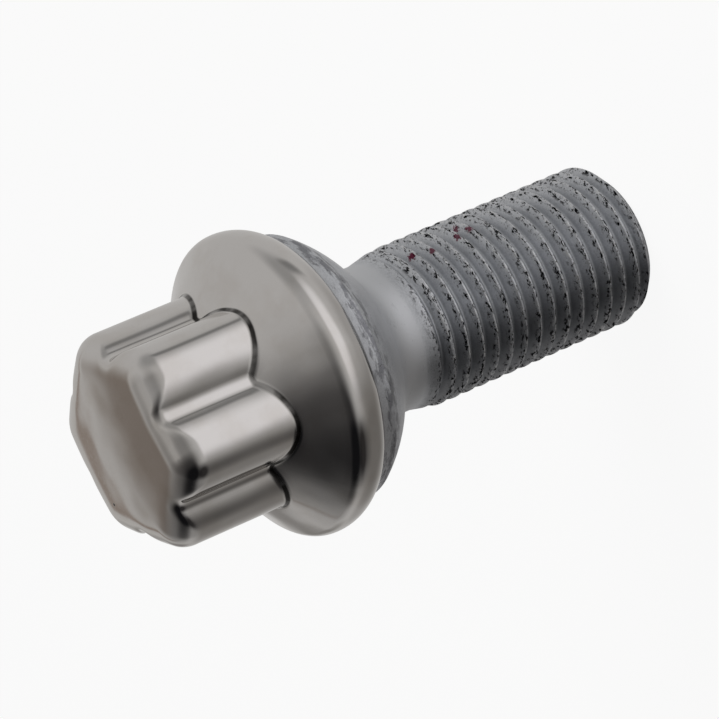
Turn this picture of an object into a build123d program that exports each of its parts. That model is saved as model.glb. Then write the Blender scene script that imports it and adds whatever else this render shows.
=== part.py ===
import os
from math import acos, asin, atan2, cos, degrees, pi, radians, sin, sqrt, tan

from build123d import *

# Wheel bolt with a ball seat and a pressed cap on its grooved hexagon head, in millimetres.
# It stands on its threaded tip at Z = 0, on the Z axis, with the head up.

# Thread, as the cylinder round its crests, and neck
thread_diameter = 14.0
thread_length = 21.4
runout_length = 2.65
tip_chamfer = 1.1
neck_diameter = 12.9
neck_length = 0.75
neck_fillet_radius = 3.13

# Ball seat collar behind the flange
ball_radius = 14.0
collar_diameter = 23.3
collar_land = 1.45
collar_edge_radius = 0.4

# Flange, with the cap's rim rolled round it
rim_overhang = 1.52
rim_round_radius = 3.15
rim_front_height = 1.05
rim_edge_radius = 0.5
lip_width = 0.42
face_slope = 40.0

# Drive: a hexagon with rounded corners and a round-lipped groove along each flat
corner_count = 6
across_flats = 17.2
corner_radius = 3.0
groove_depth = 1.0
groove_radius = 1.2
groove_margin = 0.23
drive_height = 11.2
dome_rise = 0.4
shoulder_radius = 2.5
drive_foot_radius = 1.0

# Sheet of the cap, and its gap to the bolt
cap_wall = 0.45
cap_clearance = 0.05

# Radii worked out from the diameters
thread_radius = thread_diameter / 2
neck_radius = neck_diameter / 2
collar_radius = collar_diameter / 2
flat_distance = across_flats / 2

# Plan of the drive: its corners' reach, and the groove with its lips in the flat between two corners
half_corner = pi / corner_count
drive_radius = (flat_distance - corner_radius) / cos(half_corner) + corner_radius
groove_half = (flat_distance - corner_radius) * tan(half_corner) - groove_margin
groove_reach = (groove_half**2 + groove_depth**2) / (2 * groove_depth)
lip_radius = groove_reach - groove_radius
groove_turn = degrees(asin(groove_half / groove_reach))

# Heights along the axis, each standing on the one before
runout_height = thread_length + runout_length
neck_height = runout_height + neck_length
ball_rise = sqrt((ball_radius + neck_fillet_radius) ** 2 - (neck_radius + neck_fillet_radius) ** 2)
ball_height = neck_height + ball_rise
collar_edge_height = ball_height - sqrt(ball_radius**2 - collar_radius**2)
lip_height = collar_edge_height + collar_land

# Rim circle: its centre lies inside the flange, and the lip ends just outside the collar
rim_centre_radius = collar_radius + rim_overhang - rim_round_radius
lip_inner_radius = collar_radius + cap_clearance
lip_outer_radius = lip_inner_radius + lip_width
rim_height = lip_height + sqrt(rim_round_radius**2 - (lip_outer_radius - rim_centre_radius) ** 2)

# Flange face: a cone through the rim's front edge, given by its distance along its normal
slope = radians(face_slope)
rim_front_radius = rim_centre_radius + sqrt(rim_round_radius**2 - rim_front_height**2)
rim_front = (rim_front_radius, rim_height + rim_front_height)
face_distance = rim_front_radius * sin(slope) + (rim_height + rim_front_height) * cos(slope)

# Drive: its foot on the flange face, then the shoulder and a shallow dome tangent to it
foot_height = (face_distance - drive_radius * sin(slope)) / cos(slope)
shoulder_centre_radius = drive_radius - shoulder_radius
dome_drop = (shoulder_centre_radius**2 - dome_rise**2) / (2 * dome_rise)
dome_radius = dome_drop + shoulder_radius + dome_rise
dome_height = foot_height + drive_height - shoulder_radius - dome_drop
crown_height = dome_height + dome_radius

# The bolt's own head lies under the sheet and its gap
core_inset = cap_wall + cap_clearance


# Height at which the rim, sunk by inset, leaves a wall of the given radius
def rim_start_height(inset, wall_radius):
    return rim_height - sqrt((rim_round_radius - inset) ** 2 - (wall_radius - rim_centre_radius) ** 2)


# Flange sunk by inset, solid to the axis: the rim from its wall radius round to the front, then the cone
def flange_form(inset, wall_radius):
    rim_radius = rim_round_radius - inset
    start_angle = degrees(acos((wall_radius - rim_centre_radius) / rim_radius))
    rim_to_face = face_distance - inset - rim_centre_radius * sin(slope) - rim_height * cos(slope)
    front_angle = 90 - face_slope - degrees(acos(rim_to_face / rim_radius))
    with BuildPart() as flange:
        with BuildSketch(Plane.XZ) as section:
            with BuildLine():
                rim_centre = (rim_centre_radius, rim_height)
                rim = CenterArc(rim_centre, rim_radius, -start_angle, start_angle + front_angle)
                Polyline(
                    rim @ 1,
                    (0, (face_distance - inset) / cos(slope)),
                    (0, rim_start_height(inset, wall_radius)),
                    rim @ 0,
                )
            make_face()
            if inset < rim_edge_radius:
                rim_edge = section.vertices().sort_by_distance(rim_front)[0]
                fillet(rim_edge, rim_edge_radius - inset)
        revolve(axis=Axis.Z)
    return flange.part


# What a groove takes from the flat that faces +X, sunk by inset: a round floor between two round lips
def groove_form(inset):
    with BuildPart() as groove:
        with BuildSketch(Plane.XY.offset(rim_height)):
            with BuildLine():
                floor_centre = (flat_distance - groove_depth + groove_radius, 0)
                CenterArc(floor_centre, groove_radius + inset, 180 - groove_turn, 2 * groove_turn)
                lip_centre = flat_distance - lip_radius
                left_lip = CenterArc((lip_centre, groove_half), lip_radius - inset, 0, -groove_turn)
                right_lip = CenterArc((lip_centre, -groove_half), lip_radius - inset, 0, groove_turn)
                Polyline(
                    left_lip @ 0,
                    (drive_radius, groove_half),
                    (drive_radius, -groove_half),
                    right_lip @ 0,
                )
            make_face()
        extrude(amount=crown_height - rim_height)
    return groove.part


# Drive sunk by inset, from inside the flange up to its dome: the grooves run out on its rounded shoulder
def drive_form(inset):
    with BuildPart() as drive:
        with BuildSketch(Plane.XY.offset(rim_height)) as plan:
            RegularPolygon(flat_distance - inset, corner_count, major_radius=False)
            fillet(plan.vertices(), corner_radius - inset)
        extrude(amount=crown_height - rim_height)
        with Locations((0, 0, dome_height)):
            Sphere(dome_radius - inset, rotation=(90, 0, 0), mode=Mode.INTERSECT)
        crown = drive.faces().sort_by(Axis.Z)[-1]
        fillet(crown.edges(), shoulder_radius - inset)
        with PolarLocations(0, corner_count, start_angle=degrees(half_corner)):
            add(groove_form(inset), mode=Mode.SUBTRACT)
    return drive.part


# Head sunk by inset: flange and drive in one, with a fillet round the foot of the drive
def head_form(inset, wall_radius):
    with BuildPart() as head:
        add(flange_form(inset, wall_radius))
        add(drive_form(inset))
        foot_top = foot_height + drive_radius - flat_distance + groove_depth
        foot_edges = head.edges().filter_by_position(Axis.Z, foot_height - inset, foot_top)
        fillet(foot_edges, drive_foot_radius + inset)
    return head.part


# Pressed cap: one sheet over the drive and the flange face, rolled in behind the rim
with BuildPart() as head_cap:
    add(head_form(0, lip_outer_radius))
    add(head_form(cap_wall, lip_inner_radius), mode=Mode.SUBTRACT)
    mouth_height = rim_start_height(cap_wall, lip_inner_radius) - collar_edge_height
    with Locations((0, 0, collar_edge_height)):
        standing = (Align.CENTER, Align.CENTER, Align.MIN)
        Cylinder(lip_inner_radius, mouth_height, align=standing, mode=Mode.SUBTRACT)

# Bolt: threaded shank, neck, ball seat, flange and the core of the head in one piece
with BuildPart() as bolt:
    core_start = (collar_radius, rim_start_height(core_inset, collar_radius))
    with BuildSketch(Plane.XZ) as shank_section:
        with BuildLine():
            Polyline(
                core_start,
                (0, core_start[1]),
                (0, 0),
                (thread_radius - tip_chamfer, 0),
                (thread_radius, tip_chamfer),
                (thread_radius, thread_length),
                (neck_radius, runout_height),
                (neck_radius, neck_height),
            )
            ball_direction = degrees(atan2(ball_rise, neck_radius + neck_fillet_radius))
            neck_centre = (neck_radius + neck_fillet_radius, neck_height)
            CenterArc(neck_centre, neck_fillet_radius, 180, -ball_direction)
            collar_direction = degrees(acos(collar_radius / ball_radius))
            ball_turn = ball_direction - collar_direction
            ball = CenterArc((0, ball_height), ball_radius, -ball_direction, ball_turn)
            Line(ball @ 1, core_start)
        make_face()
        collar_edge = shank_section.vertices().sort_by_distance((collar_radius, collar_edge_height))[0]
        fillet(collar_edge, collar_edge_radius)
    revolve(axis=Axis.Z)
    add(head_form(core_inset, collar_radius))

os.makedirs("parts", exist_ok=True)
bolt.part.label = "bolt"
export_step(bolt.part, "parts/bolt.step")
head_cap.part.label = "head_cap"
export_step(head_cap.part, "parts/head_cap.step")
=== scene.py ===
import bmesh
import bpy
import numpy as np
from mathutils import Matrix, Vector


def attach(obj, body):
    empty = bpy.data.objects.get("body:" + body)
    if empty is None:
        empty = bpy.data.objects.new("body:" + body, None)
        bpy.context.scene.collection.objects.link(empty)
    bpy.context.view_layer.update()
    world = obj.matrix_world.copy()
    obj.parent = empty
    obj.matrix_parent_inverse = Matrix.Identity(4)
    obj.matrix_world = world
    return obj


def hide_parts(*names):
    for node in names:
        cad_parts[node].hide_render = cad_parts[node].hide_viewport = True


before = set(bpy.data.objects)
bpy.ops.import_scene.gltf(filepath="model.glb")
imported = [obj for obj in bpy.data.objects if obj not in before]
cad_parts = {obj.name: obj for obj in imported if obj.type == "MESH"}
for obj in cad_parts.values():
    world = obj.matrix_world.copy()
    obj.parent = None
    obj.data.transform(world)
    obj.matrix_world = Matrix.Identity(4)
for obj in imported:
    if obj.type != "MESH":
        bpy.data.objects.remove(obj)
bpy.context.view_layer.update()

print("frame loaded:", sorted(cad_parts))
mm = 0.001
sharpAngle = 60    # degrees: an edge that turns by more is shaded as an edge

# grooved hexagon head and flange, in millimetres, with the sizes of the solids; crease and ease say how
# softly the grooves and the dome run into the shoulder, and rows how many rows of points each form has
head = dict(
    corners=6, flatDistance=8.6, cornerRadius=3.0, grooveDepth=1.0, grooveRadius=1.2, grooveMargin=0.23,
    footRadius=1.0, driveHeight=11.2, shoulderRadius=2.5, domeRise=0.4, crease=0.7,
    rimCentre=10.02, rimHeight=35.0309, rimRadius=3.15, rimFront=1.05, faceSlope=40.0,
    domeReach=0.93, domePower=1.2, easeRows=14, easePasses=20,
    rows=dict(dome=22, shoulder=21, wall=7, foot=10, face=7, edge=12, rim=25),
)


def drivePlan(h, inset, steps):
    # one side of the hexagon is half a corner, a lip, the groove's floor, a lip and half a corner: every
    # column is a point of one of those arcs, its centre plus the signed radius, less the inset, along the
    # wall's own normal; the depth is how far it lies behind the plain flat, along the plain normal
    half = np.pi / h["corners"]
    straight = (h["flatDistance"] - h["cornerRadius"]) * np.tan(half)
    mouth = straight - h["grooveMargin"]
    reach = (mouth**2 + h["grooveDepth"] ** 2) / (2 * h["grooveDepth"])
    lipRadius = reach - h["grooveRadius"]
    bend = np.arcsin(mouth / reach)
    corner = np.linspace(-half, 0, steps[0])
    lip = np.linspace(0, bend, steps[1])
    floor = np.linspace(bend, -bend, steps[2])[1:-1]
    turn = np.concatenate([corner, lip, floor, -lip[::-1], -corner[:0:-1]])
    counts = [len(corner), len(lip), len(floor), len(lip), len(corner) - 1]
    cornerX = h["flatDistance"] - h["cornerRadius"]
    lipX = h["flatDistance"] - lipRadius
    floorX = h["flatDistance"] - h["grooveDepth"] + h["grooveRadius"]
    centreX = np.repeat([cornerX, lipX, floorX, lipX, cornerX], counts)
    centreY = np.repeat([-straight, -mouth, 0, mouth, straight], counts)
    radii = [h["cornerRadius"], lipRadius, -h["grooveRadius"], lipRadius, h["cornerRadius"]]
    radius = np.repeat(radii, counts)
    grooved = np.repeat([0, 1, 1, 1, 0], counts)
    wallNormal = np.stack([np.cos(turn), np.sin(turn)], -1)
    plainTurn = turn * (1 - grooved)
    plainNormal = np.stack([np.cos(plainTurn), np.sin(plainTurn)], -1)
    wall = np.stack([centreX, centreY], -1) + (radius - inset)[:, None] * wallNormal
    depth = grooved * (h["flatDistance"] - inset - wall[:, 0])
    plain = wall + depth[:, None] * plainNormal
    side = half + 2 * half * np.arange(h["corners"])
    outward = np.stack([np.cos(side), np.sin(side)], -1)
    sideways = np.stack([-np.sin(side), np.cos(side)], -1)
    spin = np.stack([outward, sideways], 1)
    fields = dict(wall=wall, plain=plain, wallNormal=wallNormal, plainNormal=plainNormal)
    around = {name: (field @ spin).reshape(-1, 2) for name, field in fields.items()}
    around["depth"] = np.tile(depth, h["corners"])
    return around


def swing(a, b, count):
    # turns one unit vector into the other by even angles, one row for each step
    angle = np.arccos(np.clip((a * b).sum(-1), -1, 1))[None, :, None]
    t = np.linspace(0, 1, count)[:, None, None]
    return (np.sin((1 - t) * angle) * a[None] + np.sin(t * angle) * b[None]) / np.sin(angle)


def between(a, b, count):
    # rows strictly between two rows, evenly spaced
    t = np.linspace(0, 1, count + 2)[1:-1][:, None, None]
    return a[None] * (1 - t) + b[None] * t


def ring(azimuth, radii, heights):
    # rows of circles: radius and height by row, azimuth by column
    flat = np.stack([np.cos(azimuth), np.sin(azimuth)], -1)[None] * np.asarray(radii)[:, None, None]
    tall = np.broadcast_to(np.asarray(heights)[:, None, None], flat.shape[:2] + (1,))
    return np.concatenate([flat, tall], -1)


def level(flat, height=0.0):
    # plan vectors with a height
    return np.concatenate([flat, np.broadcast_to(height, flat.shape[:-1])[..., None]], -1)


def headSkin(h, inset, wallRadius, steps, rimEdge):
    # skin of the head sunk by inset, from the crown down: a dome, a ball rolled round inside the top edge
    # of the plain hexagon, the wall, a ball rolled round outside its foot, the cone of the flange, its
    # rounded front edge and its rim; where a groove is deeper than the shoulder the deeper of the two
    # counts, eased over the crease between them; a running mean over rows eases the dome into the shoulder
    plan = drivePlan(h, inset, steps)
    count = h["rows"]
    half = np.pi / h["corners"]
    slope = np.radians(h["faceSlope"])
    driveRadius = (h["flatDistance"] - h["cornerRadius"]) / np.cos(half) + h["cornerRadius"]
    front = h["rimCentre"] + np.sqrt(h["rimRadius"] ** 2 - h["rimFront"] ** 2)
    faceReach = front * np.sin(slope) + (h["rimHeight"] + h["rimFront"]) * np.cos(slope)
    foot = (faceReach - driveRadius * np.sin(slope)) / np.cos(slope)
    ballRing = driveRadius - h["shoulderRadius"]
    drop = (ballRing**2 - h["domeRise"] ** 2) / (2 * h["domeRise"])
    domeRadius = drop + h["shoulderRadius"] + h["domeRise"]
    domeHeight = foot + h["driveHeight"] - h["shoulderRadius"] - drop
    domeCentre = np.array([0, 0, domeHeight])

    ball = plan["plain"] - (h["shoulderRadius"] - inset) * plan["plainNormal"]
    ballTop = domeHeight + np.sqrt((domeRadius - h["shoulderRadius"]) ** 2 - (ball**2).sum(-1))
    ball = level(ball, ballTop)
    domeNormal = (ball - domeCentre) / (domeRadius - h["shoulderRadius"])
    rolled = swing(domeNormal, level(plan["plainNormal"]), count["shoulder"])
    shoulder = ball[None] + (h["shoulderRadius"] - inset) * rolled
    sunk = ((plan["plain"] - shoulder[..., :2]) * plan["plainNormal"]).sum(-1)
    band = np.maximum(h["crease"] * plan["depth"], 1e-9)
    near = np.maximum(band - np.abs(plan["depth"] - sunk), 0)
    deeper = np.maximum(plan["depth"], sunk) + near**2 / (4 * band)
    shoulder[..., :2] -= (deeper - sunk)[..., None] * plan["plainNormal"]

    inwards = np.linspace(1, 0, count["dome"] + 1)[:-1] ** h["domePower"]
    share = 1 - h["domeReach"] * inwards
    domeFlat = shoulder[0, :, :2][None] * share[:, None, None]
    dome = level(domeFlat, domeHeight + np.sqrt((domeRadius - inset) ** 2 - (domeFlat**2).sum(-1)))
    crown = np.array([0, 0, domeHeight + domeRadius - inset])
    top = np.concatenate([dome, shoulder])
    fromJoin = np.abs(np.arange(len(top)) - len(dome)) / h["easeRows"]
    ease = 0.25 * np.clip(2 * (1 - fromJoin), 0, 1)[1:-1, None, None]
    for _ in range(h["easePasses"]):
        top[1:-1] += ease * (top[2:] - 2 * top[1:-1] + top[:-2])

    footBall = plan["wall"] + (h["footRadius"] + inset) * plan["wallNormal"]
    footReach = np.sqrt((footBall**2).sum(-1, keepdims=True))
    footTall = (faceReach + h["footRadius"] - footReach[:, 0] * np.sin(slope)) / np.cos(slope)
    coneNormal = level(footBall / footReach * np.sin(slope), np.cos(slope))
    turned = swing(level(plan["wallNormal"]), coneNormal, count["foot"])
    footRound = level(footBall, footTall)[None] - (h["footRadius"] + inset) * turned

    azimuth = np.unwrap(np.arctan2(footRound[-1, :, 1], footRound[-1, :, 0]))
    coneAim = np.pi / 2 - slope
    rimBase = h["rimCentre"] * np.sin(slope) + h["rimHeight"] * np.cos(slope)
    edgeReach = h["rimRadius"] - rimEdge
    edgeAim = coneAim - np.arccos((faceReach - rimEdge - rimBase) / edgeReach)
    edgeTurn = np.linspace(coneAim, edgeAim, count["edge"])
    edgeRadius = rimEdge - inset
    edge = ring(azimuth,
                h["rimCentre"] + edgeReach * np.cos(edgeAim) + edgeRadius * np.cos(edgeTurn),
                h["rimHeight"] + edgeReach * np.sin(edgeAim) + edgeRadius * np.sin(edgeTurn))
    rimRadius = h["rimRadius"] - inset
    rimEnd = -np.arccos((wallRadius - h["rimCentre"]) / rimRadius)
    rimTurn = np.linspace(edgeAim, rimEnd, count["rim"] + 1)[1:]
    rim = ring(azimuth,
               h["rimCentre"] + rimRadius * np.cos(rimTurn), h["rimHeight"] + rimRadius * np.sin(rimTurn))
    rows = [top, between(top[-1], footRound[0], count["wall"]), footRound,
            between(footRound[-1], edge[0], count["face"]), edge, rim]
    footStart = len(top) + count["wall"]
    return crown, np.concatenate(rows), azimuth, footStart


def gridFaces(start, rowCount, columnCount):
    # quads between neighbouring rows of a grid whose last column joins its first
    row = np.arange(rowCount - 1)[:, None]
    column = np.arange(columnCount)[None]
    a = start + row * columnCount + column
    b = start + row * columnCount + (column + 1) % columnCount
    return np.stack([a, a + columnCount, b + columnCount, b], -1).reshape(-1, 4)


def fanFaces(pole, start, columnCount):
    # triangles from a pole to a row
    a = start + np.arange(columnCount)
    b = start + (np.arange(columnCount) + 1) % columnCount
    return np.stack([np.full(columnCount, pole), a, b], -1)


def makePiece(name, points, faceGroups, node, marks):
    # a closed mesh from points and faces; marks are named values, one for each point
    mesh = bpy.data.meshes.new(name)
    faces = [face for group in faceGroups for face in group.tolist()]
    mesh.from_pydata((points * mm).tolist(), [], faces)
    for markName, values in marks.items():
        mark = mesh.attributes.new(markName, "FLOAT", "POINT")
        mark.data.foreach_set("value", values.astype(np.float32))
    work = bmesh.new()
    work.from_mesh(mesh)
    bmesh.ops.remove_doubles(work, verts=work.verts, dist=1e-7)
    bmesh.ops.recalc_face_normals(work, faces=work.faces)
    openEdges = sum(1 for edge in work.edges if len(edge.link_faces) != 2)
    work.to_mesh(mesh)
    work.free()
    mesh.polygons.foreach_set("use_smooth", np.ones(len(mesh.polygons), bool))
    mesh.set_sharp_from_angle(angle=np.radians(sharpAngle))
    piece = bpy.data.objects.new(name, mesh)
    bpy.context.scene.collection.objects.link(piece)
    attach(piece, "root")
    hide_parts(node)
    mesh.calc_loop_triangles()
    print(name, "triangles", len(mesh.loop_triangles), "open edges", openEdges)
    return piece


# seat and shank, in millimetres, then the points across half a crest and those of the seat's arcs
shank = dict(
    threadRadius=7.0, pitch=1.5, threadDepth=0.9201, floorHalf=0.125, threadLength=21.4, runoutTop=24.05,
    startTurn=-91.0, grooveEnd=22.2, climbOut=1.0138, rootEase=0.12, crestEase=0.05,
    tipChamfer=1.1, neckRadius=6.45, neckTop=24.8, neckFillet=3.13,
    ballRadius=14.0, ballHeight=39.0, collarRadius=11.65, collarEdge=0.4, steps=(6, 6, 7),
    crestSteps=(0.0, 0.06, 0.095, 0.13, 0.25, 0.42, 0.56, 0.64), seatSteps=(8, 22, 14),
)
# sheet of the cap, in millimetres: the flange face rolls over its outer edge into the rim
cap = dict(
    wall=0.45, gap=0.05, lipWidth=0.42, lipHeight=32.69, outerEdge=1.6, innerEdge=0.5, steps=(10, 11, 13),
)

# pressed cap: its outer skin, the cut end of its lip and its inner skin, one closed sheet
lipInner = shank["collarRadius"] + cap["gap"]
lipOuter = lipInner + cap["lipWidth"]
outerCrown, outerRows, outerAzimuth, footStart = headSkin(
    head, 0.0, lipOuter, cap["steps"], cap["outerEdge"])
innerCrown, innerRows, _, _ = headSkin(head, cap["wall"], lipInner, cap["steps"], cap["innerEdge"])
lip = ring(outerAzimuth, [lipInner], [cap["lipHeight"]])
capRows = np.concatenate([outerRows, lip, innerRows[::-1]])
capColumns = capRows.shape[1]
poleAt = capRows.shape[0] * capColumns
footRows = head["rows"]["foot"]
rowMark = np.zeros(capRows.shape[0])    # rises to 1 in the middle of the foot
rowMark[footStart:footStart + footRows] = np.sin(np.linspace(0, np.pi, footRows))
headCap = makePiece(
    "headCap", np.concatenate([capRows.reshape(-1, 3), outerCrown[None], innerCrown[None]]),
    [gridFaces(0, capRows.shape[0], capColumns), fanFaces(poleAt, 0, capColumns),
     fanFaces(poleAt + 1, poleAt - capColumns, capColumns)],
    "head_cap", dict(foot=np.append(np.repeat(rowMark, capColumns), [0, 0])),
)


def threadRadii(s, heights, fromCrest, grooveHeights):
    # groove between the crests: a flat floor and 60 degree flanks, which climb out of the shank over the
    # last turn; the crests lie on a cylinder that tapers into the neck and is cut by the tip's chamfer; the
    # corners are eased by a smooth maximum at the root and a smooth minimum at the crest
    climb = np.clip((grooveHeights - s["grooveEnd"]) / s["pitch"], 0, 1) * s["climbOut"]
    floor = s["threadRadius"] - s["threadDepth"] + climb
    flank = floor + (s["pitch"] / 2 - np.abs(fromCrest) - s["floorHalf"]) * np.sqrt(3)
    groove = 0.5 * (flank + floor + np.sqrt((flank - floor) ** 2 + s["rootEase"] ** 2))
    taper = np.clip((heights - s["threadLength"]) / (s["runoutTop"] - s["threadLength"]), 0, 1)
    crest = s["threadRadius"] + (s["neckRadius"] - s["threadRadius"]) * taper
    ease = s["crestEase"] * (1 - taper)
    radius = 0.5 * (groove + crest - np.sqrt((groove - crest) ** 2 + ease**2))
    return np.minimum(radius, s["threadRadius"] - s["tipChamfer"] + heights)


def threadStrip(s, azimuth):
    # rows that climb with the thread: a row keeps its place on the profile and rises by one pitch for each
    # turn, and rows past the tip or the neck are gathered on the end circles
    half = np.array(s["crestSteps"])
    fromCrest = np.concatenate([-half[:0:-1], half, [s["pitch"] / 2]])
    turns = np.arange(-3, int(s["runoutTop"] / s["pitch"]) + 3)
    crestHeight = np.repeat((turns + 0.5) * s["pitch"], len(fromCrest))
    fromCrest = np.tile(fromCrest, len(turns))
    climb = s["pitch"] * (azimuth - np.radians(s["startTurn"])) / (2 * np.pi)
    crestHeight = crestHeight[:, None] + climb[None]
    fromCrest = np.broadcast_to(fromCrest[:, None], crestHeight.shape)
    grooveHeight = crestHeight + np.where(fromCrest < 0, -0.5, 0.5) * s["pitch"]
    heights = np.clip(crestHeight + fromCrest, 0, s["runoutTop"])
    radius = threadRadii(s, heights, fromCrest, grooveHeight)
    points = np.stack([radius * np.cos(azimuth), radius * np.sin(azimuth), heights], -1)
    return points, len(half) * 2


def stripFaces(start, rowCount, columnCount, rowsPerTurn):
    # as a grid, but the last column meets the first one a whole turn further up
    row = np.arange(rowCount - 1)[:, None]
    column = np.arange(columnCount)[None]
    wrap = (column == columnCount - 1).astype(int)
    a = start + row * columnCount + column
    b = start + (row + wrap * rowsPerTurn) * columnCount + (column + 1) % columnCount
    faces = np.stack([a, b, b + columnCount, a + columnCount], -1)
    keep = np.broadcast_to(row + wrap * rowsPerTurn < rowCount - 1, faces.shape[:2])
    return faces[keep]


def seatProfile(s):
    # radius and height from the collar down: a small edge arc, the ball, the fillet into the neck, the neck
    edgeCount, ballCount, neckCount = s["seatSteps"]
    edgeRadius = s["collarRadius"] - s["collarEdge"]
    edgeDrop = np.sqrt((s["ballRadius"] - s["collarEdge"]) ** 2 - edgeRadius**2)
    edgeAim = np.arctan2(-edgeDrop, edgeRadius)
    ballAim = -np.arctan2(s["ballHeight"] - s["neckTop"], s["neckRadius"] + s["neckFillet"])
    edgeTurn = np.linspace(0, edgeAim, edgeCount)
    ballTurn = np.linspace(edgeAim, ballAim, ballCount)[1:]
    neckTurn = np.linspace(np.pi + ballAim, np.pi, neckCount)[1:]
    radius = [edgeRadius + s["collarEdge"] * np.cos(edgeTurn), s["ballRadius"] * np.cos(ballTurn),
              s["neckRadius"] + s["neckFillet"] * (1 + np.cos(neckTurn)), [s["neckRadius"]]]
    height = [s["ballHeight"] - edgeDrop + s["collarEdge"] * np.sin(edgeTurn),
              s["ballHeight"] + s["ballRadius"] * np.sin(ballTurn),
              s["neckTop"] + s["neckFillet"] * np.sin(neckTurn), [s["runoutTop"]]]
    return np.concatenate(radius), np.concatenate(height)


# bolt: core of the head, collar, ball seat and neck as rows of circles, the thread as a climbing strip
coreInset = cap["wall"] + cap["gap"]
coreCrown, coreRows, coreAzimuth, _ = headSkin(
    head, coreInset, shank["collarRadius"], shank["steps"], cap["innerEdge"])
upperRows = np.concatenate([coreRows, ring(coreAzimuth, *seatProfile(shank))])
strip, rowsPerTurn = threadStrip(shank, coreAzimuth)
boltColumns = upperRows.shape[1]
stripAt = upperRows.shape[0] * boltColumns
crownAt = stripAt + strip.shape[0] * boltColumns
threadedBolt = makePiece(
    "threadedBolt",
    np.concatenate([upperRows.reshape(-1, 3), strip.reshape(-1, 3), coreCrown[None], [[0, 0, 0]]]),
    [gridFaces(0, upperRows.shape[0], boltColumns), fanFaces(crownAt, 0, boltColumns),
     stripFaces(stripAt, strip.shape[0], boltColumns, rowsPerTurn),
     fanFaces(crownAt + 1, stripAt, boltColumns)],
    "bolt", {},
)
print("pieces built")


class Field:
    # a socket that takes part in sums: each operator adds a Math node
    def __init__(self, tree, socket):
        self.tree = tree
        self.socket = socket

    def make(self, kind, settings, values, output=0):
        # any other node: its settings first, then the values or links of its sockets
        node = self.tree.nodes.new(kind)
        for key, value in settings.items():
            setattr(node, key, value)
        for key, value in values.items():
            if isinstance(value, Field):
                self.tree.links.new(value.socket, node.inputs[key])
            else:
                node.inputs[key].default_value = value
        return Field(self.tree, node.outputs[output])

    def maths(self, operation, *values):
        return self.make("ShaderNodeMath", dict(operation=operation), dict(enumerate(values)))

    def __add__(self, other):
        return self.maths("ADD", self, other)

    def __radd__(self, other):
        return self.maths("ADD", other, self)

    def __sub__(self, other):
        return self.maths("SUBTRACT", self, other)

    def __rsub__(self, other):
        return self.maths("SUBTRACT", other, self)

    def __mul__(self, other):
        return self.maths("MULTIPLY", self, other)

    def __rmul__(self, other):
        return self.maths("MULTIPLY", other, self)

    def __pow__(self, other):
        return self.maths("POWER", self, other)

    def __abs__(self):
        return self.maths("ABSOLUTE", self)

    def larger(self, other):
        return self.maths("MAXIMUM", self, other)

    def ramp(self, low, high):
        # 0 below low and 1 above high, eased between
        return self.make("ShaderNodeMapRange", dict(interpolation_type="SMOOTHSTEP"),
                         {0: self, 1: low, 2: high, 3: 0.0, 4: 1.0})

    def tint(self, cold, warm):
        # mixes two colours by this value
        return self.make("ShaderNodeMix", dict(data_type="RGBA"), {0: self, 6: cold, 7: warm}, 2)

    def stretched(self, x, y, z):
        return self.make("ShaderNodeVectorMath", dict(operation="MULTIPLY"), {0: self, 1: (x, y, z)})

    def along(self, x, y, z):
        # share of this vector along a direction
        return self.make("ShaderNodeVectorMath", dict(operation="DOT_PRODUCT"), {0: self, 1: (x, y, z)}, 1)

    def away(self, x, y, z):
        # distance of this place from a point
        return self.make("ShaderNodeVectorMath", dict(operation="DISTANCE"), {0: self, 1: (x, y, z)}, 1)

    def noise(self, scale, detail=3.0, rough=0.55):
        values = dict(Vector=self, Scale=scale, Detail=detail, Roughness=rough)
        return self.make("ShaderNodeTexNoise", {}, values)

    def cells(self, scale):
        return self.make("ShaderNodeTexVoronoi", {}, dict(Vector=self, Scale=scale))


def startMaterial(name):
    # a fresh material with its shader, and the place on the piece in millimetres
    material = bpy.data.materials.new(name)
    material.use_nodes = True
    tree = material.node_tree
    tree.nodes.clear()
    shader = tree.nodes.new("ShaderNodeBsdfPrincipled")
    out = tree.nodes.new("ShaderNodeOutputMaterial")
    tree.links.new(shader.outputs[0], out.inputs["Surface"])
    coordinates = tree.nodes.new("ShaderNodeTexCoord")
    place = Field(tree, coordinates.outputs["Object"]).stretched(1 / mm, 1 / mm, 1 / mm)
    return material, shader, place


def frontAndSide(vector, turn):
    # shares of a vector along two level directions, square to each other and turned by so many degrees
    aim = np.radians(turn)
    return vector.along(np.sin(aim), -np.cos(aim), 0), vector.along(-np.cos(aim), -np.sin(aim), 0)


def feed(shader, **fields):
    for key, value in fields.items():
        value.tree.links.new(value.socket, shader.inputs[key.replace("_", " ")])


def bumps(field, height, strength):
    # a bump from a height in millimetres
    return field.make("ShaderNodeBump", {}, dict(Strength=strength, Distance=height * mm, Height=field))


# bright pressed sheet: colours, gloss and the height and strength of its bumps, then where the pit, the
# crown and the painted shade in the foot crease begin, then the scale of each pattern and the band of its
# values that shows
brightSheet = dict(
    base=(0.64, 0.625, 0.61, 1), stain=(0.55, 0.52, 0.485, 1), pitAndCreaseShade=(0.03, 0.028, 0.026, 1),
    gloss=0.06, metal=1.0, bump=(0.03, 0.6), waveHeight=4.0, crownCalm=2.2,
    pitSpot=(-3.32, 5.08, 50.4), pitBand=(0.1, 0.22), topBand=(49.4, 50.1), footBand=(0.58, 0.92),
    drawnScale=(4.0, 4.0, 0.25), waveScale=(0.4, 0.4, 0.25), cloudScale=0.32, fineScale=12.0,
    drawnBand=(0.45, 0.8), stainBand=(0.42, 0.72), creaseShadeBand=(0.35, 0.60),
)


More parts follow.
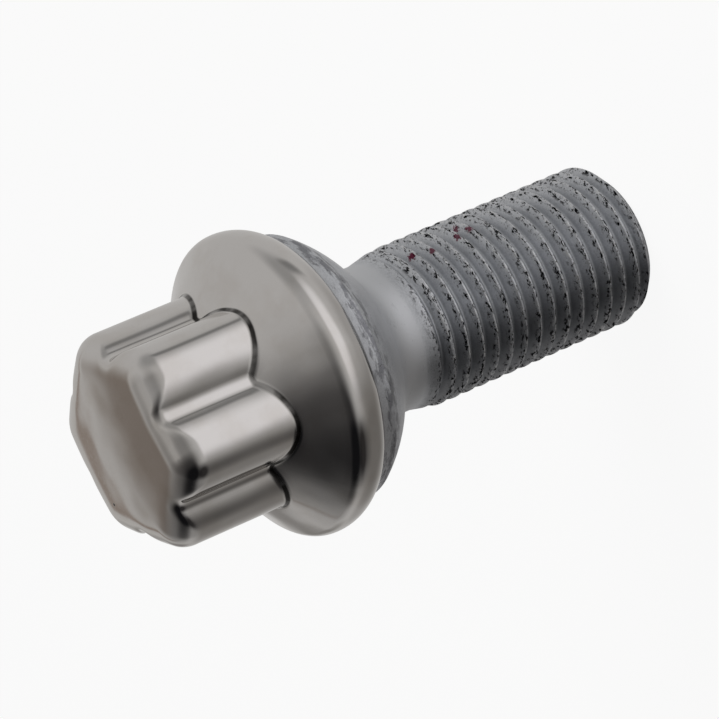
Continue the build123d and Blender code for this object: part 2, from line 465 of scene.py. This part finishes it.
def brightCapMaterial(b):
    material, shader, place = startMaterial("brightCap")
    z = place.along(0, 0, 1)
    drawn = place.stretched(*b["drawnScale"]).noise(1.0, 4.0)    # lines drawn along the walls
    wave = place.stretched(*b["waveScale"]).noise(1.0, 0.0)      # slow waves of the pressed sheet
    cloud = place.noise(b["cloudScale"])
    fine = place.noise(b["fineScale"])
    onTop = z.ramp(*b["topBand"])
    crease = place.make("ShaderNodeAttribute", dict(attribute_name="foot"), {}, 2)
    pit = 1 - place.away(*b["pitSpot"]).ramp(*b["pitBand"])
    stain = cloud.ramp(*b["stainBand"]) * 0.4 + onTop * 0.4
    # the pit is a dark mark on the crown; along the foot crease the sheet is darkened as painted shade
    pitAndCreaseShade = pit.larger(crease.ramp(*b["footBand"]) * (cloud.ramp(*b["creaseShadeBand"]) * 0.6 + 0.4))
    colour = pitAndCreaseShade.tint(stain.tint(b["base"], b["stain"]), b["pitAndCreaseShade"])
    rough = b["gloss"] + drawn.ramp(*b["drawnBand"]) * 0.06 + fine * 0.04 + pitAndCreaseShade * 0.3
    relief = drawn * (1 - onTop) * 0.04 + fine * 0.012 + wave * (b["waveHeight"] - onTop * b["crownCalm"])
    feed(shader, Base_Color=colour, Roughness=rough, Normal=bumps(relief, *b["bump"]))
    shader.inputs["Metallic"].default_value = b["metal"]
    return material


# grey flake coat: colours, gloss and the height and strength of its bumps, then bands of height and of
# radius in millimetres (the root band darkens the roots as painted shade), the turn of the side darkened as
# painted shade, the scale of each pattern and the band of its values that shows, and the places of the
# paint marks
flakeCoat = dict(
    base=(0.69, 0.708, 0.74, 1), dark=(0.44, 0.457, 0.485, 1), pale=(0.66, 0.675, 0.70, 1),
    worn=(0.78, 0.79, 0.80, 1), soot=(0.012, 0.012, 0.014, 1), smudge=(0.13, 0.13, 0.15, 1),
    sideShadeTone=(0.20, 0.207, 0.222, 1), paint=(0.15, 0.02, 0.05, 1), gloss=0.40, metal=0.95, bump=(0.03, 0.6),
    tipBand=(0.7, 1.5), threadEnd=(23.2, 24.2), neckStart=(23.6, 24.4), neckEnd=(28.5, 30.0),
    collarStart=(29.6, 31.0), collarEdge=31.2, edgeBand=(0.15, 1.2),
    rootShadeBand=(6.15, 6.6), fleckBand=(6.45, 6.78), crestBand=(6.72, 6.95), sideShadeEaseBand=(6.75, 6.95),
    turn=-7.1, shadedSideBand=(0.0, 5.0), grainScale=7.0, flakeScale=14.0, cloudScale=0.55, speckScale=4.2,
    chipScale=(1.8, 5.4, 2.5), scuffScale=(1.3, 5.0, 1.0), blotScale=(0.8, 1.6, 0.5),
    chipBand=(0.535, 0.58), speckBand=(0.58, 0.64), scuffBand=(0.50, 0.60), blotBand=(0.52, 0.66),
    neckBlotBand=(0.60, 0.70), grainBand=(0.3, 0.7), cloudBand=(0.35, 0.7),
    paintBand=(0.24, 0.40), paintFray=1.4,
    paintSpots=((4.6, -4.86, 20.78), (4.45, -4.9, 20.6), (4.26, -5.5, 19.02), (4.6, -5.21, 16.18),
                (4.86, -4.96, 14.64), (5.42, -3.48, 14.91)),
)


def flakeCoatMaterial(c):
    material, shader, place = startMaterial("flakeCoat")
    z = place.along(0, 0, 1)
    front, side = frontAndSide(place, c["turn"])
    radius = (front * front + side * side) ** 0.5
    around = side.maths("ARCTAN2", side, front) * shank["threadRadius"]
    unrolled = place.make("ShaderNodeCombineXYZ", {}, {0: around, 1: z, 2: radius})
    grain = place.noise(c["grainScale"], 4.0, 0.65)
    flakes = place.cells(c["flakeScale"])
    cloud = place.noise(c["cloudScale"])
    speck = place.noise(c["speckScale"], 4.0, 0.7)
    chip = unrolled.stretched(*c["chipScale"]).noise(1.0, 5.0, 0.66)    # longer along the crests
    scuff = unrolled.stretched(*c["scuffScale"]).noise(1.0, 4.0, 0.66)
    blot = unrolled.stretched(*c["blotScale"]).noise(1.0, 5.0, 0.7)
    onThread = 1 - z.ramp(*c["threadEnd"])
    crest = radius.ramp(*c["crestBand"]) * onThread
    edge = radius.ramp(*c["fleckBand"]).larger(1 - z.ramp(*c["tipBand"])) * onThread
    # darker towards the thread roots: painted shade in the recesses; grain and cloud add tone that varies
    # at random
    root = (1 - radius.ramp(*c["rootShadeBand"])) * onThread
    onNeck = z.ramp(*c["neckStart"]) * (1 - z.ramp(*c["neckEnd"]))
    onCollar = z.ramp(*c["collarStart"])
    toneAndRootShade = grain.ramp(*c["grainBand"]) * 0.45 + cloud.ramp(*c["cloudBand"]) * 0.25 + root * 0.6
    colour = onNeck.tint(toneAndRootShade.tint(c["base"], c["dark"]), c["pale"])
    # one side of the thread is darkened as painted shade, eased off on the crests and varied by the cloud
    # noise
    shadedSide = side.ramp(*c["shadedSideBand"]) * (1 - radius.ramp(*c["sideShadeEaseBand"]) * 0.5) * onThread
    colour = (shadedSide * (cloud * 0.5 + 0.35)).tint(colour, c["sideShadeTone"])
    colour = (crest * scuff.ramp(*c["scuffBand"]) * 0.85).tint(colour, c["worn"])
    atEdge = 1 - abs(z - c["collarEdge"]).ramp(*c["edgeBand"])
    mottle = (blot + atEdge * 0.10).ramp(*c["blotBand"]) * onCollar * 0.65
    mottle = mottle + blot.ramp(*c["neckBlotBand"]) * onNeck * 0.2
    colour = mottle.tint(colour, c["smudge"])
    sooty = chip.ramp(*c["chipBand"]) * edge
    sooty = sooty + speck.ramp(*c["speckBand"]) * (edge * 0.8 + mottle * onCollar * 0.7)
    sooty = sooty.make("ShaderNodeClamp", {}, {0: sooty})
    colour = sooty.tint(colour, c["soot"])
    for spot in c["paintSpots"]:
        touch = 1 - (place.away(*spot) + (speck - 0.5) * c["paintFray"]).ramp(*c["paintBand"])
        colour = (touch * 0.9).tint(colour, c["paint"])
    rough = c["gloss"] + grain * 0.12 + sooty * 0.3 + onNeck * 0.04
    relief = grain + flakes * 0.5 - sooty
    feed(shader, Base_Color=colour, Roughness=rough, Normal=bumps(relief, *c["bump"]))
    shader.inputs["Metallic"].default_value = c["metal"]
    return material


headCap.data.materials.append(brightCapMaterial(brightSheet))
threadedBolt.data.materials.append(flakeCoatMaterial(flakeCoat))
print("materials made")

# camera of the photograph: pixels per millimetre at the bolt, distance, pitch towards the head, roll, turn,
# and the pixel where the axis stands at one height
view = dict(
    side=719, pixels=11.904, distance=422.8, pitch=29.3, roll=-23.29, turn=-7.1,
    spot=(500.0, 285.8), spotHeight=11.4, sensor=36.0, clip=(0.01, 20),
)


def placeCamera(v):
    # the bolt's axis and two directions square to it, as the picture shows them, turned back into the frame
    pitch, roll, turn = np.radians([v["pitch"], v["roll"], v["turn"]])
    u = np.array([np.cos(roll), np.sin(roll)])
    seen = np.array([
        [np.cos(pitch) * u[0], np.cos(pitch) * u[1], np.sin(pitch)],
        [-u[1], u[0], 0],
        [np.sin(pitch) * u[0], np.sin(pitch) * u[1], -np.cos(pitch)],
    ])
    made = np.array([[0, 0, -1], [-np.cos(turn), -np.sin(turn), 0], [np.sin(turn), -np.cos(turn), 0]])
    toFrame = made.T @ seen    # camera's right, down and away in the frame
    focal = v["pixels"] * v["distance"]
    middle = (v["side"] - 1) / 2
    spot = v["distance"] * np.array([(v["spot"][0] - middle) / focal, (v["spot"][1] - middle) / focal, 1])
    position = np.array([0, 0, v["spotHeight"]]) - toFrame @ spot
    right, down, away = toFrame.T
    data = bpy.data.cameras.new("photoCamera")
    data.sensor_width = v["sensor"]
    data.lens = focal / v["side"] * v["sensor"]
    data.clip_start, data.clip_end = v["clip"]
    camera = bpy.data.objects.new("photoCamera", data)
    pose = Matrix(np.stack([right, -down, -away], 1).tolist()).to_4x4()
    camera.matrix_world = Matrix.Translation(Vector(position * mm)) @ pose
    bpy.context.scene.collection.objects.link(camera)
    bpy.context.scene.camera = camera


placeCamera(view)

# soft studio: a white floor and backdrop, and the room that metal shows, a pale wall with soft cards and
# dark screens; a card stands at a turn round the bolt and a rise over the horizon, with half its width and
# height, in degrees
studio = dict(
    floorSize=1.6, floorTone=(0.86, 0.86, 0.86, 1), floorGlow=0.92, wallTone=(0.57, 0.56, 0.55, 1),
)
cards = (
    dict(turn=0, rise=90, wide=900, tall=26, soft=0.5, tone=(0.47, 0.46, 0.45, 1)),        # ceiling
    dict(turn=100, rise=66, wide=90, tall=16, soft=0.8, tone=(0.20, 0.19, 0.185, 1)),      # its shaded side
    dict(turn=0, rise=-90, wide=900, tall=28, soft=0.5, tone=(0.42, 0.41, 0.40, 1)),       # ground
    dict(turn=-70, rise=4, wide=24, tall=32, soft=0.7, tone=(0.36, 0.355, 0.35, 1)),       # box's frame
    dict(turn=-15, rise=-27, wide=41, tall=15, soft=0.55, tone=(0.95, 0.93, 0.94, 1)),     # soft box
    dict(turn=-78, rise=-29, wide=6, tall=14, soft=0.8, tone=(0.24, 0.237, 0.235, 1)),     # its post
    dict(turn=180, rise=38, wide=34, tall=10, soft=0.6, tone=(0.27, 0.235, 0.21, 1)),      # brown shelf
    dict(turn=172, rise=17.5, wide=34, tall=2.2, soft=0.7, tone=(0.33, 0.28, 0.25, 1)),    # its lower board
    dict(turn=153, rise=-5, wide=16, tall=9, soft=0.7, tone=(0.27, 0.26, 0.25, 1)),        # stand behind
    dict(turn=86, rise=-48, wide=64, tall=34, soft=0.6, tone=(0.19, 0.18, 0.17, 1)),       # grey screen
    dict(turn=66, rise=43, wide=84, tall=37, soft=0.65, tone=(0.050, 0.048, 0.048, 1)),    # camera side
    dict(turn=71, rise=-6, wide=26, tall=22, soft=0.6, tone=(0.032, 0.030, 0.030, 1)),     # its lower edge
    dict(turn=78, rise=28, wide=36, tall=24, soft=0.5, tone=(0.008, 0.008, 0.009, 1)),     # its middle
)
# soft lamp, in metres and watts, and the height it looks at
keyBox = dict(position=(0.42, -0.16, 0.30), size=(0.35, 0.30), power=1.2, aimHeight=0.028)


def cameraRay(tree):
    node = tree.nodes.new("ShaderNodeLightPath")
    return Field(tree, node.outputs["Is Camera Ray"])


def makeFloor(s):
    mesh = bpy.data.meshes.new("paleFloor")
    w = s["floorSize"]
    mesh.from_pydata([(-w, -w, 0), (w, -w, 0), (w, w, 0), (-w, w, 0)], [], [(0, 1, 2, 3)])
    floor = bpy.data.objects.new("paleFloor", mesh)
    bpy.context.scene.collection.objects.link(floor)
    floor.visible_glossy = False
    floor.visible_diffuse = False
    material = bpy.data.materials.new("paleFloor")
    material.use_nodes = True
    tree = material.node_tree
    tree.nodes.clear()
    out = tree.nodes.new("ShaderNodeOutputMaterial")
    matt = tree.nodes.new("ShaderNodeBsdfDiffuse")
    matt.inputs["Color"].default_value = s["floorTone"]
    glow = tree.nodes.new("ShaderNodeEmission")
    both = tree.nodes.new("ShaderNodeMixShader")
    seen = cameraRay(tree) * s["floorGlow"]
    tree.links.new(seen.socket, both.inputs[0])
    tree.links.new(matt.outputs[0], both.inputs[1])
    tree.links.new(glow.outputs[0], both.inputs[2])
    tree.links.new(both.outputs[0], out.inputs["Surface"])
    floor.data.materials.append(material)


def makeWorld(s, v, roomCards):
    # every card is an ellipse in turn and rise, with a soft edge, laid over the ones before it
    world = bpy.data.worlds.new("studioWorld")
    world.use_nodes = True
    tree = world.node_tree
    tree.nodes.clear()
    out = tree.nodes.new("ShaderNodeOutputWorld")
    back = tree.nodes.new("ShaderNodeBackground")
    coordinates = tree.nodes.new("ShaderNodeTexCoord")
    direction = Field(tree, coordinates.outputs["Generated"])
    front, side = frontAndSide(direction, v["turn"])
    up = direction.along(0, 0, 1)
    turn = side.maths("ARCTAN2", side, front) * np.degrees(1)
    rise = up.maths("ARCSINE", up) * np.degrees(1)
    colour = s["wallTone"]
    for card in roomCards:
        across = turn.maths("WRAP", turn - card["turn"], 180.0, -180.0) * (1 / card["wide"])
        along = (rise - card["rise"]) * (1 / card["tall"])
        reach = (across * across + along * along) ** 0.5
        inside = 1 - reach.ramp(1 - card["soft"], 1 + card["soft"])
        colour = inside.tint(colour, card["tone"])
    colour = cameraRay(tree).tint(colour, (1, 1, 1, 1))
    tree.links.new(colour.socket, back.inputs["Color"])
    tree.links.new(back.outputs[0], out.inputs["Surface"])
    bpy.context.scene.world = world


def makeLamp(name, lampBox):
    # a soft box that looks at the middle of the bolt
    data = bpy.data.lights.new(name, "AREA")
    data.shape = "RECTANGLE"
    data.size, data.size_y = lampBox["size"]
    data.energy = lampBox["power"]
    lamp = bpy.data.objects.new(name, data)
    spot = Vector(lampBox["position"])
    lamp.location = spot
    lamp.rotation_euler = (Vector((0, 0, lampBox["aimHeight"])) - spot).to_track_quat("-Z", "Y").to_euler()
    lamp.visible_glossy = False
    bpy.context.scene.collection.objects.link(lamp)


makeFloor(studio)
makeWorld(studio, view, cards)
makeLamp("keyBox", keyBox)
bpy.context.scene.view_settings.view_transform = "Standard"
print("stage lit")
